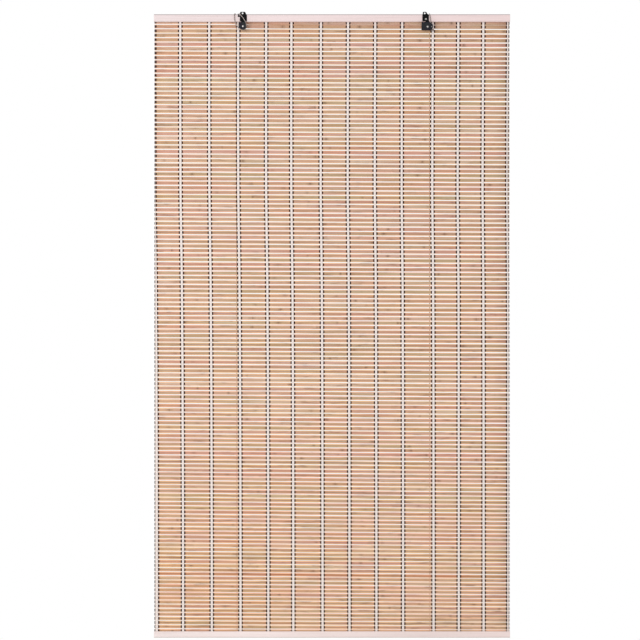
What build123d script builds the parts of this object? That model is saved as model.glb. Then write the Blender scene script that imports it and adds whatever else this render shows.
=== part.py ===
from build123d import *
from math import cos, pi, radians, sin
import os

# Bamboo roll-up blind, hanging as it does in a window. Millimetres.
# X runs along the rails, the room side faces -Y, and Z is up. The origin is
# midway between the two hanging holes, on the back of the hanger plates.

# Overall
blind_width = 900.0
drop = 1575.5               # head rail top to bottom rail underside
blind_centre_x = -4.2       # the mat hangs a little left of its two hangers
hanger_spacing = 460.0
hole_above_rail = 2.2
hole_radius = 2.1

# Rails: each is a front batten and a back batten nailed together over the mat
head_rail_height = 19.0
head_front_thickness = 8.0
head_edge_radius = 2.5
bottom_rail_height = 16.0
bottom_front_thickness = 6.0
bottom_edge_radius = 1.6
back_batten_thickness = 5.0
batten_end_radius = 1.0

# Mat of split bamboo, woven tighter towards its lower end
slat_count = 143
slat_height = 7.8
slat_thickness = 1.2
slat_bevel_height = 0.9
slat_bevel_depth = 0.4
slat_end_setback = 1.0      # from the rail's end to the slat's end
slat_inset_top = 7.9        # first slat's middle below the head rail's top
slat_inset_bottom = 5.8     # last slat's middle above the bottom rail's underside
pitch_shrink = 0.122
mat_sag = 4.2               # extra fall of the slats about two thirds down
sag_skew = 1.4
closed_gap_every = 6        # of these gaps one is closed by the weft web
web_thickness = 0.4
selvage_width = 4.0

# Woven bands: a pale tape with a dark yarn each side of it
band_shares = [0.0736, 0.1550, 0.2365, 0.3152, 0.3861, 0.4691, 0.5453,
               0.6217, 0.6974, 0.7838, 0.8554, 0.9257]      # of the blind's width
right_band_inset = 5.2      # last band's middle from the rail's right end
tape_width = 5.9
yarn_width = 2.4
yarn_offset = 4.45          # tape's middle to yarn's middle
edge_yarn_offset = 3.0
left_yarn_width = 1.6
weave_thickness = 0.5
weave_lap = 1.0
weave_slack = 0.2           # between a tape and its yarn at the left edge
left_yarn_from_left = 4.0
band_lean = 7.8             # how far the left bands lean right at the bottom
band_wave = 2.6
wave_span = 0.5             # share of the drop that the wave takes

# Nails through both battens, between the slats
nail_radius = 0.8
nail_head_radius = 1.8
nail_head_height = 0.6
nail_bite = 3.0             # depth in the front batten
nail_clearance = 0.05

# Hangers of sheet steel
sheet = 1.2
ear_rise = 6.0              # ear's top above the head rail
ear_corner = 2.4
axle_below_hole = 34.0
lock_axle_below_hole = 35.0
pulley_axle_x = 1.2         # axle's place beside the ear's middle
lock_axle_x = 6.9
tongue_width = 9.6
plate_bottom = 20.0         # plate's lower edge below the hole

# Hanger screws
screw_radius = 1.3
screw_head_radius = 2.5
screw_head_height = 1.3
screw_length = 6.0
screw_clearance = 0.05
pulley_screw = (-2.3, -14.9)
lock_screw = (3.1, -14.6)

# Pulley case and lock case
case_inner = 7.2            # between the cheeks
case_top = 23.2             # top of the fold below the hole
pulley_case_left = 9.5      # case's sides beside the ear's middle
pulley_case_right = 6.8
pulley_case_height = 16.8
case_corner = 5.0
case_fold_radius = 1.0

# Wheels, axles and the lock's roller
axle_radius = 1.5
running_clearance = 0.05
rivet_head_radius = 2.5
rivet_head_height = 1.2
rivet_tail_radius = 2.3
rivet_tail_height = 0.8
wheel_thickness = 6.4
pulley_radius = 8.8
pulley_groove = 6.5
lock_wheel_radius = 7.6
lock_wheel_groove = 5.9
groove_width = 3.2
flange_rim = 1.0
roller_radius = 1.8
roller_pin_radius = 0.9
roller_from_axle = (10.1, 0.0)
roller_travel = 2.0
roller_lift_angle = 53.0    # degrees above level, up and away from the wheel
slot_clearance = 0.1
roller_side_gap = 0.3
knurl_grooves = 8
knurl_depth = 0.35
knurl_width = 0.5

# Cords, their knots and the eyes on the bottom rail
cord_radius = 1.0
cord_gap = 0.3
eye_radius = 2.4
eye_wire = 0.7
eye_screw_depth = 4.0
eye_stand = 0.6
eye_height = 8.0            # eye's middle above the bottom rail's underside
end_knot_radius = 2.4
end_knot_height = 6.0
lock_knot_radius = 2.6

# Places that follow from the sizes above
rail_top = -hole_above_rail
rail_under = rail_top - head_rail_height
blind_bottom = rail_top - drop
bottom_rail_top = blind_bottom + bottom_rail_height
left_end = blind_centre_x - blind_width / 2
mat_left = left_end + slat_end_setback
mat_width = blind_width - 2 * slat_end_setback
front_weave_y = head_front_thickness
slat_front = front_weave_y + weave_thickness
slat_back = slat_front + slat_thickness
back_batten_front = slat_back + weave_thickness
back_face = back_batten_front + back_batten_thickness
bottom_front_y = head_front_thickness - bottom_front_thickness
first_slat = rail_top - slat_inset_top
last_slat = blind_bottom + slat_inset_bottom
weave_top = first_slat + slat_height / 2
weave_bottom = last_slat - slat_height / 2
left_ear_x = -hanger_spacing / 2
right_ear_x = hanger_spacing / 2
case_back = -sheet
case_front = case_back - case_inner - 2 * sheet
wheel_y = (case_back + case_front) / 2
pulley_axis = (left_ear_x + pulley_axle_x, -axle_below_hole)
lock_axis = (right_ear_x + lock_axle_x, -lock_axle_below_hole)
roller_axis = (lock_axis[0] + roller_from_axle[0], lock_axis[1] + roller_from_axle[1])

os.makedirs("parts", exist_ok=True)


def save(part, name):
    """Label a finished piece and write it to its own file."""
    part.label = name
    export_step(part, f"parts/{name}.step")


def front_plane(y):
    """A plane across the blind at depth y, whose extrusions run towards the room."""
    return Plane.XZ.offset(-y)


def bore(x, y_start, z, radius, depth):
    """A round hole from y_start back into the blind."""
    with Locations(Plane(origin=(x, y_start, z), x_dir=(1, 0, 0), z_dir=(0, -1, 0))):
        Hole(radius, depth)


def turned(axis, profile):
    """Turn a closed outline of (radius, y) points about an axis through the blind."""
    section = Plane(origin=(axis[0], 0, axis[1]), x_dir=(1, 0, 0), z_dir=(0, 0, 1))
    with BuildSketch(section) as outline:
        Polygon(*profile, align=None)
    revolve(outline.sketch, axis=Axis((axis[0], 0, axis[1]), (0, 1, 0)))


# The mat


def slat_heights():
    """Middle of every slat, from the head rail down, with the pitch closing up."""
    spaces = slat_count - 1
    weights = [1 - pitch_shrink * (i / spaces) ** 3 for i in range(spaces)]
    unit = (first_slat - last_slat) / sum(weights)
    heights = [first_slat]
    for weight in weights:
        heights.append(heights[-1] - weight * unit)
    return [
        height - mat_sag * sin(pi * (i / spaces) ** sag_skew) ** 2
        for i, height in enumerate(heights)
    ]


band_middles = [
    left_end,
    *[left_end + share * blind_width for share in band_shares],
    left_end + blind_width - right_band_inset,
]
slats = slat_heights()
gap_middles = [(upper + lower) / 2 for upper, lower in zip(slats, slats[1:])]
head_nail_z = gap_middles[0]
bottom_nail_z = gap_middles[-1]


def is_open(index):
    """Gaps are open, apart from a closed one at a regular count inside the mat."""
    return index == 0 or index % closed_gap_every != 0


def front_side(z):
    """Front of one slat from its top edge down, with both edges split away."""
    bevel_z = slat_height / 2 - slat_bevel_height
    bevel_y = slat_front + slat_bevel_depth
    return [
        (bevel_y, z + slat_height / 2),
        (slat_front, z + bevel_z),
        (slat_front, z - bevel_z),
        (bevel_y, z - slat_height / 2),
    ]


def mat_section():
    """Section through the whole mat: slats joined by the weft web between them."""
    web_front = (slat_front + slat_back - web_thickness) / 2
    front = []
    back = []
    for upper, lower in zip(slats, slats[1:]):
        foot = upper - slat_height / 2
        head = lower + slat_height / 2
        front += front_side(upper)
        front += [(web_front, foot), (web_front, head)]
        back += [(slat_back, foot), (web_front + web_thickness, foot)]
        back += [(web_front + web_thickness, head), (slat_back, head)]
    front += front_side(slats[-1])
    bottom = (slat_back, slats[-1] - slat_height / 2)
    top = (slat_back, slats[0] + slat_height / 2)
    return [*front, bottom, *reversed(back), top]


def gap_opening(upper, lower):
    """One open gap seen from the front, between the two selvages."""
    middle = (mat_left + mat_width / 2, (upper + lower) / 2)
    with BuildSketch(front_plane(slat_back)) as opening:
        with Locations(middle):
            Rectangle(mat_width - 2 * selvage_width, upper - lower - slat_height)
    return opening.sketch.face()


with BuildPart() as bamboo_mat:
    with BuildSketch(Plane.YZ.offset(mat_left)):
        Polygon(*mat_section(), align=None)
    extrude(amount=mat_width)
    openings = [
        gap_opening(upper, lower)
        for index, (upper, lower) in enumerate(zip(slats, slats[1:]))
        if is_open(index)
    ]
    extrude(openings, amount=slat_thickness, mode=Mode.SUBTRACT)
save(bamboo_mat.part, "bamboo_mat")


# The woven bands


weave_heights = [weave_top + (weave_bottom - weave_top) * share / 7 for share in range(8)]


def drift(x, z):
    """How far a band has wandered sideways at height z, within the mat."""
    level = min(max(z, weave_bottom), weave_top)
    fall = (rail_top - level) / drop
    across = (x - left_end) / blind_width
    lean = band_lean * (1 - across) * sin(pi * fall / 2)
    wave = band_wave * sin(pi * min(fall, wave_span) / wave_span) ** 2
    return lean - wave


def strip(left_edge, right_edge, lap):
    """A flat yarn or tape down the front of the slats and up behind them."""
    heights = [weave_top + lap, *weave_heights, weave_bottom - lap]
    right_side = [(right_edge(z), z) for z in heights]
    left_side = [(left_edge(z), z) for z in reversed(heights)]
    for y in (slat_front, back_batten_front):
        with BuildSketch(front_plane(y)) as outline:
            Polygon(*right_side, *left_side, align=None)
        extrude(outline.sketch, amount=weave_thickness)


def turn_over(left, right, z, height):
    """The weave's turn over the mat's end, from the front to the back."""
    with Locations(((left + right) / 2, (front_weave_y + back_batten_front) / 2, z)):
        Box(right - left, back_batten_front - front_weave_y, height)


def ends_of(left_edge, right_edge, lap, extra):
    """Close a strip round both ends of the mat."""
    top = weave_top + lap
    bottom = weave_bottom - lap
    turn_over(left_edge(top), right_edge(top), top - extra / 2, extra)
    turn_over(left_edge(bottom), right_edge(bottom), bottom + extra / 2, extra)


def make_tape(name, left_edge, right_edge):
    with BuildPart() as tape:
        strip(left_edge, right_edge, weave_lap)
        ends_of(left_edge, right_edge, weave_lap, weave_lap)
    save(tape.part, name)


def make_yarns(name, left_middle, right_middle, left_width, right_width):
    """The two dark yarns beside a tape, joined where they turn at the mat's ends."""
    lap = 1.5 * weave_lap
    turn = 0.4 * weave_lap

    def outer_left(z):
        return left_middle(z) - left_width / 2

    def outer_right(z):
        return right_middle(z) + right_width / 2

    with BuildPart() as yarns:
        strip(outer_left, lambda z: left_middle(z) + left_width / 2, lap)
        strip(lambda z: right_middle(z) - right_width / 2, outer_right, lap)
        ends_of(outer_left, outer_right, lap, turn)
    save(yarns.part, name)


def make_band(number, middle, offset):
    """A tape and its two yarns about a middle line."""

    def at(shift):
        return lambda z: middle + shift + drift(middle, z)

    make_tape(f"woven_tape_{number:02d}", at(-tape_width / 2), at(tape_width / 2))
    make_yarns(f"dark_yarns_{number:02d}", at(-offset), at(offset), yarn_width, yarn_width)


def left_edge_yarn(z):
    return left_end + left_yarn_from_left + drift(left_end, z)


left_rim = mat_left + weave_slack + left_yarn_width
make_tape(
    "woven_tape_01",
    lambda z: left_rim + weave_slack,
    lambda z: max(left_edge_yarn(z) - yarn_width / 2 - weave_slack, left_rim + 2 * weave_slack),
)
make_yarns(
    "dark_yarns_01",
    lambda z: mat_left + weave_slack + left_yarn_width / 2,
    lambda z: max(left_edge_yarn(z), left_rim + 3 * weave_slack + yarn_width / 2),
    left_yarn_width,
    yarn_width,
)
for number, middle in enumerate(band_middles[1:-1], start=2):
    make_band(number, middle, yarn_offset)
last_number = len(band_middles)
last_middle = band_middles[-1]
make_tape(
    f"woven_tape_{last_number:02d}",
    lambda z: last_middle - edge_yarn_offset + yarn_width / 2 + weave_slack + drift(last_middle, z),
    lambda z: last_middle + edge_yarn_offset - yarn_width / 2 - weave_slack + drift(last_middle, z),
)
make_yarns(
    f"dark_yarns_{last_number:02d}",
    lambda z: last_middle - edge_yarn_offset + drift(last_middle, z),
    lambda z: last_middle + edge_yarn_offset + drift(last_middle, z),
    yarn_width,
    yarn_width,
)


# The rails


nail_xs = [(left + right) / 2 for left, right in zip(band_middles[::2], band_middles[1::2])]


def batten(front_y, thickness, top, height, edge_radius, rounded_face):
    """A straight batten with its outer long edges rounded."""
    with Locations((blind_centre_x, front_y + thickness / 2, top - height / 2)):
        Box(blind_width, thickness, height)
    outer = edges().filter_by(Axis.X).group_by(Axis.Y)[rounded_face]
    fillet(outer, edge_radius)
    fillet(edges().filter_by(Axis.Z), batten_end_radius)


nail_hole = nail_radius + nail_clearance
screw_hole = screw_radius + screw_clearance
screw_places = [
    (left_ear_x + pulley_screw[0], pulley_screw[1]),
    (right_ear_x + lock_screw[0], lock_screw[1]),
]

with BuildPart() as head_rail_front:
    batten(0, head_front_thickness, rail_top, head_rail_height, head_edge_radius, 0)
    for x in nail_xs:
        bore(x, head_front_thickness - nail_bite, head_nail_z, nail_hole, nail_bite)
    for x, z in screw_places:
        bore(x, 0, z, screw_hole, screw_length)
save(head_rail_front.part, "head_rail_front")

with BuildPart() as head_rail_back:
    batten(
        back_batten_front, back_batten_thickness, rail_top, head_rail_height, head_edge_radius, -1
    )
    for x in nail_xs:
        bore(x, back_batten_front, head_nail_z, nail_hole, back_batten_thickness)
save(head_rail_back.part, "head_rail_back")

with BuildPart() as bottom_rail_front:
    batten(
        bottom_front_y,
        bottom_front_thickness,
        bottom_rail_top,
        bottom_rail_height,
        bottom_edge_radius,
        0,
    )
    for x in nail_xs:
        bore(x, head_front_thickness - nail_bite, bottom_nail_z, nail_hole, nail_bite)
save(bottom_rail_front.part, "bottom_rail_front")

eye_z = blind_bottom + eye_height
eye_y = back_face + eye_stand + eye_radius + eye_wire

# The lift cords: their routes, from the eye on the bottom rail upward

behind_rail = back_face + cord_gap + cord_radius
before_rail = -cord_gap - cord_radius
over_rail = rail_top + cord_gap + cord_radius
over_return = over_rail + cord_gap
over_edge = head_edge_radius + cord_gap + cord_radius
end_knot_top = eye_z + eye_radius + eye_wire + cord_gap + end_knot_height
head_knot_top = -14.2
head_knot_height = 5.8
head_knot_width = 11.0
head_knot_depth = 4.0

left_leg = -14.5            # beside the left ear's middle
left_return = -8.3          # the strand that comes back over the rail to the knot
right_leg = 14.0            # beside the right ear's middle
left_leg_x = left_ear_x + left_leg
left_return_x = left_ear_x + left_return
right_leg_x = right_ear_x + right_leg


def beside(ear_x, points):
    """A route whose x is measured from the middle of a hanger's ear."""
    return [(ear_x + x, y, z) for x, y, z in points]


left_route = beside(left_ear_x, [
    (left_leg, eye_y, end_knot_top),
    (left_leg, behind_rail, over_rail),
    (-14.8, before_rail, over_rail),
    (-13.3, before_rail, -19.0),
    (-11.5, -6.0, -32.1),
    (1.2, -6.0, -44.75),
    (8.8, -6.0, -37.15),
    (8.8, -4.6, -21.5),
    (left_return, -2.5, over_return),
    (left_return, behind_rail, over_return),
    (left_return, 17.2, head_knot_top),
])
left_bends = [over_edge, over_edge, 20.0, 10.0, 7.5, 7.5, 14.0, 3.0, over_edge]

right_route = beside(right_ear_x, [
    (right_leg, eye_y, end_knot_top),
    (right_leg, behind_rail, over_rail),
    (right_leg, before_rail, over_rail),
    (16.6, before_rail, -18.5),
    (13.9, -6.0, -31.5),
    (13.9, -6.0, -38.3),
    (21.0, -6.0, -43.3),
])
right_bends = [over_edge, over_edge, 20.0, 15.0, 5.9]

with BuildPart() as bottom_rail_back:
    batten(
        back_batten_front,
        back_batten_thickness,
        bottom_rail_top,
        bottom_rail_height,
        bottom_edge_radius,
        -1,
    )
    for x in nail_xs:
        bore(x, back_batten_front, bottom_nail_z, nail_hole, back_batten_thickness)
    for x in (left_leg_x, right_leg_x):
        bore(x, back_face - eye_screw_depth, eye_z, eye_wire + nail_clearance, eye_screw_depth)
save(bottom_rail_back.part, "bottom_rail_back")


def nail_row(name, z):
    """Nails driven from behind, through the back batten into the front one."""
    shank = back_face - (head_front_thickness - nail_bite)
    with BuildPart() as nails:
        for x in nail_xs:
            with BuildSketch(front_plane(back_face)):
                with Locations((x, z)):
                    Circle(nail_radius)
            extrude(amount=shank)
            with BuildSketch(front_plane(back_face + nail_head_height)):
                with Locations((x, z)):
                    Circle(nail_head_radius)
            extrude(amount=nail_head_height)
    save(nails.part, name)


nail_row("head_rail_nails", head_nail_z)
nail_row("bottom_rail_nails", bottom_nail_z)


# The hangers, one flat pressing each


def round_tongue(axis, top):
    """The tongue behind a case, round about the axle."""
    with Locations((axis[0], axis[1])):
        Circle(tongue_width / 2)
    with Locations((axis[0], (top + axis[1]) / 2)):
        Rectangle(tongue_width, top - axis[1])


def plate_holes(ear_x, screw, axis):
    """Hanging hole, screw hole and axle hole."""
    bore(ear_x, -sheet, 0, hole_radius, sheet)
    bore(ear_x + screw[0], -sheet, screw[1], screw_hole, sheet)
    bore(axis[0], -sheet, axis[1], axle_radius + running_clearance, sheet)


ear_top = rail_top + ear_rise
pulley_plate_left = -6.9
pulley_plate_right = 10.8
pulley_ear_half = 6.4
shoulder_drop = 9.3
lug_left = -12.0
lug_width = 2.1
lug_top = -0.8
lug_bottom = -9.0
notch_bottom = -5.2

with BuildPart() as pulley_hanger:
    with BuildSketch(front_plane(0)):
        with BuildLine():
            Polyline(
                (left_ear_x - pulley_ear_half, ear_top),
                (left_ear_x + pulley_ear_half, ear_top),
                (left_ear_x + pulley_plate_right, ear_top - shoulder_drop),
                (left_ear_x + pulley_plate_right, -plate_bottom),
                (left_ear_x + pulley_plate_left, -plate_bottom),
                (left_ear_x + pulley_plate_left, lug_bottom),
                (left_ear_x + lug_left, lug_bottom),
                (left_ear_x + lug_left, lug_top),
                (left_ear_x + lug_left + lug_width, lug_top),
                (left_ear_x + lug_left + lug_width, notch_bottom),
                (left_ear_x - pulley_ear_half, notch_bottom),
                close=True,
            )
        make_face()
        round_tongue(pulley_axis, -plate_bottom)
    extrude(amount=sheet)
    fillet(edges().filter_by(Axis.Y).group_by(Axis.Z)[-1], ear_corner)
    plate_holes(left_ear_x, pulley_screw, pulley_axis)
save(pulley_hanger.part, "pulley_hanger")

lock_plate_left = -6.0
lock_plate_right = 10.4
lock_ear_half = 5.0
lock_shoulder_top = 0.8
lock_shoulder_foot = -4.6
lock_left_step = -3.4

with BuildPart() as lock_hanger:
    with BuildSketch(front_plane(0)):
        with BuildLine():
            Polyline(
                (right_ear_x - lock_ear_half, ear_top),
                (right_ear_x + lock_ear_half, ear_top),
                (right_ear_x + lock_ear_half, lock_shoulder_top),
                (right_ear_x + lock_plate_right, lock_shoulder_foot),
                (right_ear_x + lock_plate_right, -plate_bottom),
                (right_ear_x + lock_plate_left, -plate_bottom),
                (right_ear_x + lock_plate_left, lock_left_step),
                (right_ear_x - lock_ear_half, lock_left_step + 1),
                close=True,
            )
        make_face()
        round_tongue(lock_axis, -plate_bottom)
    extrude(amount=sheet)
    fillet(edges().filter_by(Axis.Y).group_by(Axis.Z)[-1], ear_corner)
    plate_holes(right_ear_x, lock_screw, lock_axis)
save(lock_hanger.part, "lock_hanger")


def make_screw(name, x, z):
    """Pan-head screw through a hanger plate into the head rail."""
    with BuildPart() as screw:
        with BuildSketch(front_plane(screw_length - screw_clearance)):
            with Locations((x, z)):
                Circle(screw_radius)
        extrude(amount=screw_length - screw_clearance + sheet)
        with BuildSketch(front_plane(-sheet)):
            with Locations((x, z)):
                Circle(screw_head_radius)
        extrude(amount=screw_head_height)
        rim = edges().filter_by(GeomType.CIRCLE).sort_by(Axis.Y)[0]
        fillet(rim, 0.7 * screw_head_height)
    save(screw.part, name)


make_screw("pulley_hanger_screw", *screw_places[0])
make_screw("lock_hanger_screw", *screw_places[1])


# The pulley case: a strap folded over the wheel, open at its sides and foot

pulley_case_x = (left_ear_x - pulley_case_left, left_ear_x + pulley_case_right)

with BuildPart() as pulley_case:
    with BuildSketch(Plane.YZ.offset(pulley_case_x[0])):
        with BuildLine():
            Polyline(
                (case_back, -case_top - pulley_case_height),
                (case_back, -case_top),
                (case_front, -case_top),
                (case_front, -case_top - pulley_case_height),
                (case_front + sheet, -case_top - pulley_case_height),
                (case_front + sheet, -case_top - sheet),
                (case_back - sheet, -case_top - sheet),
                (case_back - sheet, -case_top - pulley_case_height),
                close=True,
            )
        make_face()
    extrude(amount=pulley_case_x[1] - pulley_case_x[0])
    folds = edges().filter_by(Axis.X).group_by(Axis.Z)[-1]
    fillet(folds, case_fold_radius)
    feet = edges().filter_by(Axis.Y).group_by(Axis.Z)[0]
    fillet(feet, case_corner)
    bore(pulley_axis[0], case_front, pulley_axis[1], axle_radius + running_clearance, -case_front)
save(pulley_case.part, "pulley_case")


# The lock case: a pressed housing with slanted slots for the locking roller

lock_case_left = -8.3
lock_case_top_right = 11.9
lock_case_shoulder = (20.2, -30.5)
lock_case_side = (20.0, -37.5)
lock_case_foot = (16.5, -43.2)
lock_case_width = lock_case_shoulder[0] - lock_case_left
lock_case_foot_corner = 2.0
lock_case_side_corner = 1.6

slot_angle = roller_lift_angle
slot_middle = (
    roller_axis[0] + roller_travel / 2 * cos(radians(slot_angle)),
    roller_axis[1] + roller_travel / 2 * sin(radians(slot_angle)),
)

with BuildPart() as lock_case:
    with BuildSketch(front_plane(case_back)):
        with BuildLine():
            Polyline(
                (right_ear_x + lock_case_left, -case_top),
                (right_ear_x + lock_case_top_right, -case_top),
                (right_ear_x + lock_case_shoulder[0], lock_case_shoulder[1]),
                (right_ear_x + lock_case_side[0], lock_case_side[1]),
                (right_ear_x + lock_case_foot[0], lock_case_foot[1]),
                (right_ear_x + lock_case_left, lock_case_foot[1]),
                close=True,
            )
        make_face()
        fillet(vertices().group_by(Axis.Y)[0], lock_case_foot_corner)
        fillet(vertices().sort_by(Axis.X)[-2:], lock_case_side_corner)
    extrude(amount=case_inner + 2 * sheet)
    inner_height = -case_top - sheet - lock_case_foot[1]
    inner_middle = (right_ear_x, wheel_y, lock_case_foot[1] + inner_height / 2)
    with Locations(inner_middle):
        Box(2 * lock_case_width, case_inner, inner_height, mode=Mode.SUBTRACT)
    bore(lock_axis[0], case_front, lock_axis[1], axle_radius + running_clearance, -case_front)
    with BuildSketch(front_plane(case_back)):
        with Locations(Location((slot_middle[0], slot_middle[1], 0), (0, 0, slot_angle))):
            SlotCenterToCenter(roller_travel, 2 * (roller_pin_radius + slot_clearance))
    extrude(amount=-case_front, mode=Mode.SUBTRACT)
save(lock_case.part, "lock_case")


# Axle rivets, wheels and roller: turned about the Y direction


def make_axle(name, axis):
    """Rivet that holds tongue, case and wheel together."""
    dome = case_front - rivet_head_height
    with BuildPart() as axle:
        turned(
            axis,
            [
                (0, dome),
                (0.6 * rivet_head_radius, dome + 0.2 * rivet_head_height),
                (rivet_head_radius, case_front - 0.3 * rivet_head_height),
                (rivet_head_radius, case_front),
                (axle_radius, case_front),
                (axle_radius, 0),
                (rivet_tail_radius, 0),
                (rivet_tail_radius, 0.5 * rivet_tail_height),
                (0.6 * rivet_tail_radius, rivet_tail_height),
                (0, rivet_tail_height),
            ],
        )
    save(axle.part, name)


def make_wheel(name, axis, radius, groove):
    """Grooved wheel that runs free on its axle."""
    half = wheel_thickness / 2
    with BuildPart() as wheel:
        turned(
            axis,
            [
                (axle_radius + running_clearance, wheel_y - half),
                (radius, wheel_y - half),
                (radius, wheel_y - half + flange_rim),
                (groove, wheel_y - groove_width / 2 + flange_rim / 2),
                (groove, wheel_y + groove_width / 2 - flange_rim / 2),
                (radius, wheel_y + half - flange_rim),
                (radius, wheel_y + half),
                (axle_radius + running_clearance, wheel_y + half),
            ],
        )
    save(wheel.part, name)


make_axle("pulley_axle", pulley_axis)
make_axle("lock_axle", lock_axis)
make_wheel("pulley_wheel", pulley_axis, pulley_radius, pulley_groove)
make_wheel("lock_wheel", lock_axis, lock_wheel_radius, lock_wheel_groove)

with BuildPart() as lock_roller:
    half = case_inner / 2 - roller_side_gap
    pin_end = case_inner / 2 + sheet
    turned(
        roller_axis,
        [
            (0, wheel_y - pin_end),
            (roller_pin_radius, wheel_y - pin_end),
            (roller_pin_radius, wheel_y - half),
            (roller_radius, wheel_y - half),
            (roller_radius, wheel_y + half),
            (roller_pin_radius, wheel_y + half),
            (roller_pin_radius, wheel_y + pin_end),
            (0, wheel_y + pin_end),
        ],
    )
    with BuildSketch(front_plane(wheel_y + half)):
        with Locations((roller_axis[0], roller_axis[1])):
            with PolarLocations(roller_radius, knurl_grooves):
                Rectangle(2 * knurl_depth, knurl_width)
    extrude(amount=2 * half, mode=Mode.SUBTRACT)
save(lock_roller.part, "lock_roller")


# The cords and what ends them


def make_cord(name, route, bends):
    """A round cord along straight runs joined by arcs."""
    with BuildPart() as cord:
        with BuildLine() as line:
            FilletPolyline(*route, radius=bends)
        with BuildSketch(Plane(origin=line.line @ 0, z_dir=line.line % 0)):
            Circle(cord_radius)
        sweep(path=line.wires()[0])
    length = line.wires()[0].length
    share = cord.part.volume / (pi * cord_radius ** 2 * length)
    print(f"{name}: {length:.1f} mm long, bends {bends}, volume over section x length {share:.4f}")
    save(cord.part, name)
    return cord.part


left_cord = make_cord("lift_cord_left", left_route, left_bends)
right_cord = make_cord("lift_cord_right", right_route, right_bends)


def make_end_knot(name, x):
    """Barrel-shaped knot that ties a cord to its eye."""
    foot = end_knot_top - end_knot_height
    with BuildPart() as knot:
        with BuildSketch(Plane.XZ.offset(-eye_y)):
            with BuildLine():
                Polyline(
                    (x, foot),
                    (x + 0.6 * end_knot_radius, foot),
                    (x + end_knot_radius, foot + 0.3 * end_knot_height),
                    (x + end_knot_radius, foot + 0.7 * end_knot_height),
                    (x + 0.6 * end_knot_radius, end_knot_top),
                    (x, end_knot_top),
                    close=True,
                )
            make_face()
        revolve(axis=Axis((x, eye_y, 0), (0, 0, 1)))
    save(knot.part, name)


make_end_knot("bottom_knot_left", left_leg_x)
make_end_knot("bottom_knot_right", right_leg_x)

with BuildPart() as head_knot:
    knot_middle = (
        (left_leg_x + left_return_x) / 2,
        back_face + cord_gap / 2 + head_knot_depth / 2,
        head_knot_top - head_knot_height / 2,
    )
    with Locations(knot_middle):
        Box(head_knot_width, head_knot_depth, head_knot_height)
    fillet(edges().filter_by(Axis.X), 0.3 * head_knot_depth)
    add(left_cord, mode=Mode.SUBTRACT)
save(head_knot.part, "head_knot_left")

with BuildPart() as lock_knot:
    with Locations(right_route[-1]):
        Sphere(lock_knot_radius)
    add(right_cord, mode=Mode.SUBTRACT)
save(lock_knot.part, "lock_knot_right")


def make_eye(name, x):
    """Screw eye in the back of the bottom rail."""
    ring_front = eye_y - eye_radius
    with BuildPart() as eye:
        with Locations(Location((x, eye_y, eye_z), (0, 90, 0))):
            Torus(eye_radius, eye_wire)
        with BuildSketch(front_plane(ring_front)):
            with Locations((x, eye_z)):
                Circle(eye_wire)
        extrude(amount=ring_front - back_face + eye_screw_depth)
    save(eye.part, name)


make_eye("cord_eye_left", left_leg_x)
make_eye("cord_eye_right", right_leg_x)

for route_name, bends in (("left", left_bends), ("right", right_bends)):
    print(f"{route_name} cord: tightest bend {min(bends):.1f} mm")
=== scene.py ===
import math
import random

import bpy
import numpy as np
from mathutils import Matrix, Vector


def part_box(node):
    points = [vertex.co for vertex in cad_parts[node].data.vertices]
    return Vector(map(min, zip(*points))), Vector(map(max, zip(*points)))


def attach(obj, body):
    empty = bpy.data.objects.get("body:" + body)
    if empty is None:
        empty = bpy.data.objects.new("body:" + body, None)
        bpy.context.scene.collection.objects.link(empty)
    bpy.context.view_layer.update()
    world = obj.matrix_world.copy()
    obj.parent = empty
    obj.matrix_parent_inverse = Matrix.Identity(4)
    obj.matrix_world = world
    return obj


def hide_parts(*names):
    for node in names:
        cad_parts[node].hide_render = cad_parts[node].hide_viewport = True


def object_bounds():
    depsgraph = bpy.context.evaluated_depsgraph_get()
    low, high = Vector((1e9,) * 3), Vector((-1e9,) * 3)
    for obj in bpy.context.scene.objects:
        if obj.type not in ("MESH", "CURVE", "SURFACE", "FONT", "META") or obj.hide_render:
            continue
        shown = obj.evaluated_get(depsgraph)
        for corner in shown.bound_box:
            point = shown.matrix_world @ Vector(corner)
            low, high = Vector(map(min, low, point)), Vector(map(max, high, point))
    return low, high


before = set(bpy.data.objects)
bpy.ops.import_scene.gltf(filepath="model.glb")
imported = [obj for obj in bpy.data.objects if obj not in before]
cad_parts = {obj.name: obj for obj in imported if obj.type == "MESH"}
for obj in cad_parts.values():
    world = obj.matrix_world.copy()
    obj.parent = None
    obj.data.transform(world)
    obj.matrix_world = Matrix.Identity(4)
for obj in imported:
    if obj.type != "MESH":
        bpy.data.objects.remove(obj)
cad_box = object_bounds()

# Bamboo roll-up blind. Metres, in the frame of the solids: X along the rails,
# the room towards -Y, Z up.

BODY = "blind"
MM = 0.001

# The mat
SLATS = 143
SLAT_HEIGHT = 7.8 * MM
PITCH_SHRINK = 0.122
MAT_SAG = 4.2 * MM
SAG_SKEW = 1.4
FRONT_Y = 8.0 * MM          # outer face of the weave, room side
BACK_Y = 10.2 * MM          # outer face of the weave, window side
SLAT_FRONT = 8.5 * MM
SLAT_BACK = 9.7 * MM
mat_low, mat_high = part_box("bamboo_mat")
weave_top = mat_high.z
weave_bottom = mat_low.z


def slat_middles():
    """Middle height of every slat, closing up towards the bottom as the solids do."""
    spaces = SLATS - 1
    weights = [1 - PITCH_SHRINK * (i / spaces) ** 3 for i in range(spaces)]
    span = weave_top - weave_bottom - SLAT_HEIGHT
    heights = [weave_top - SLAT_HEIGHT / 2]
    for weight in weights:
        heights.append(heights[-1] - weight * span / sum(weights))
    return [
        height - MAT_SAG * math.sin(math.pi * (i / spaces) ** SAG_SKEW) ** 2
        for i, height in enumerate(heights)
    ]


middles = slat_middles()
mat_centre = (mat_low.x + mat_high.x) / 2
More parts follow.
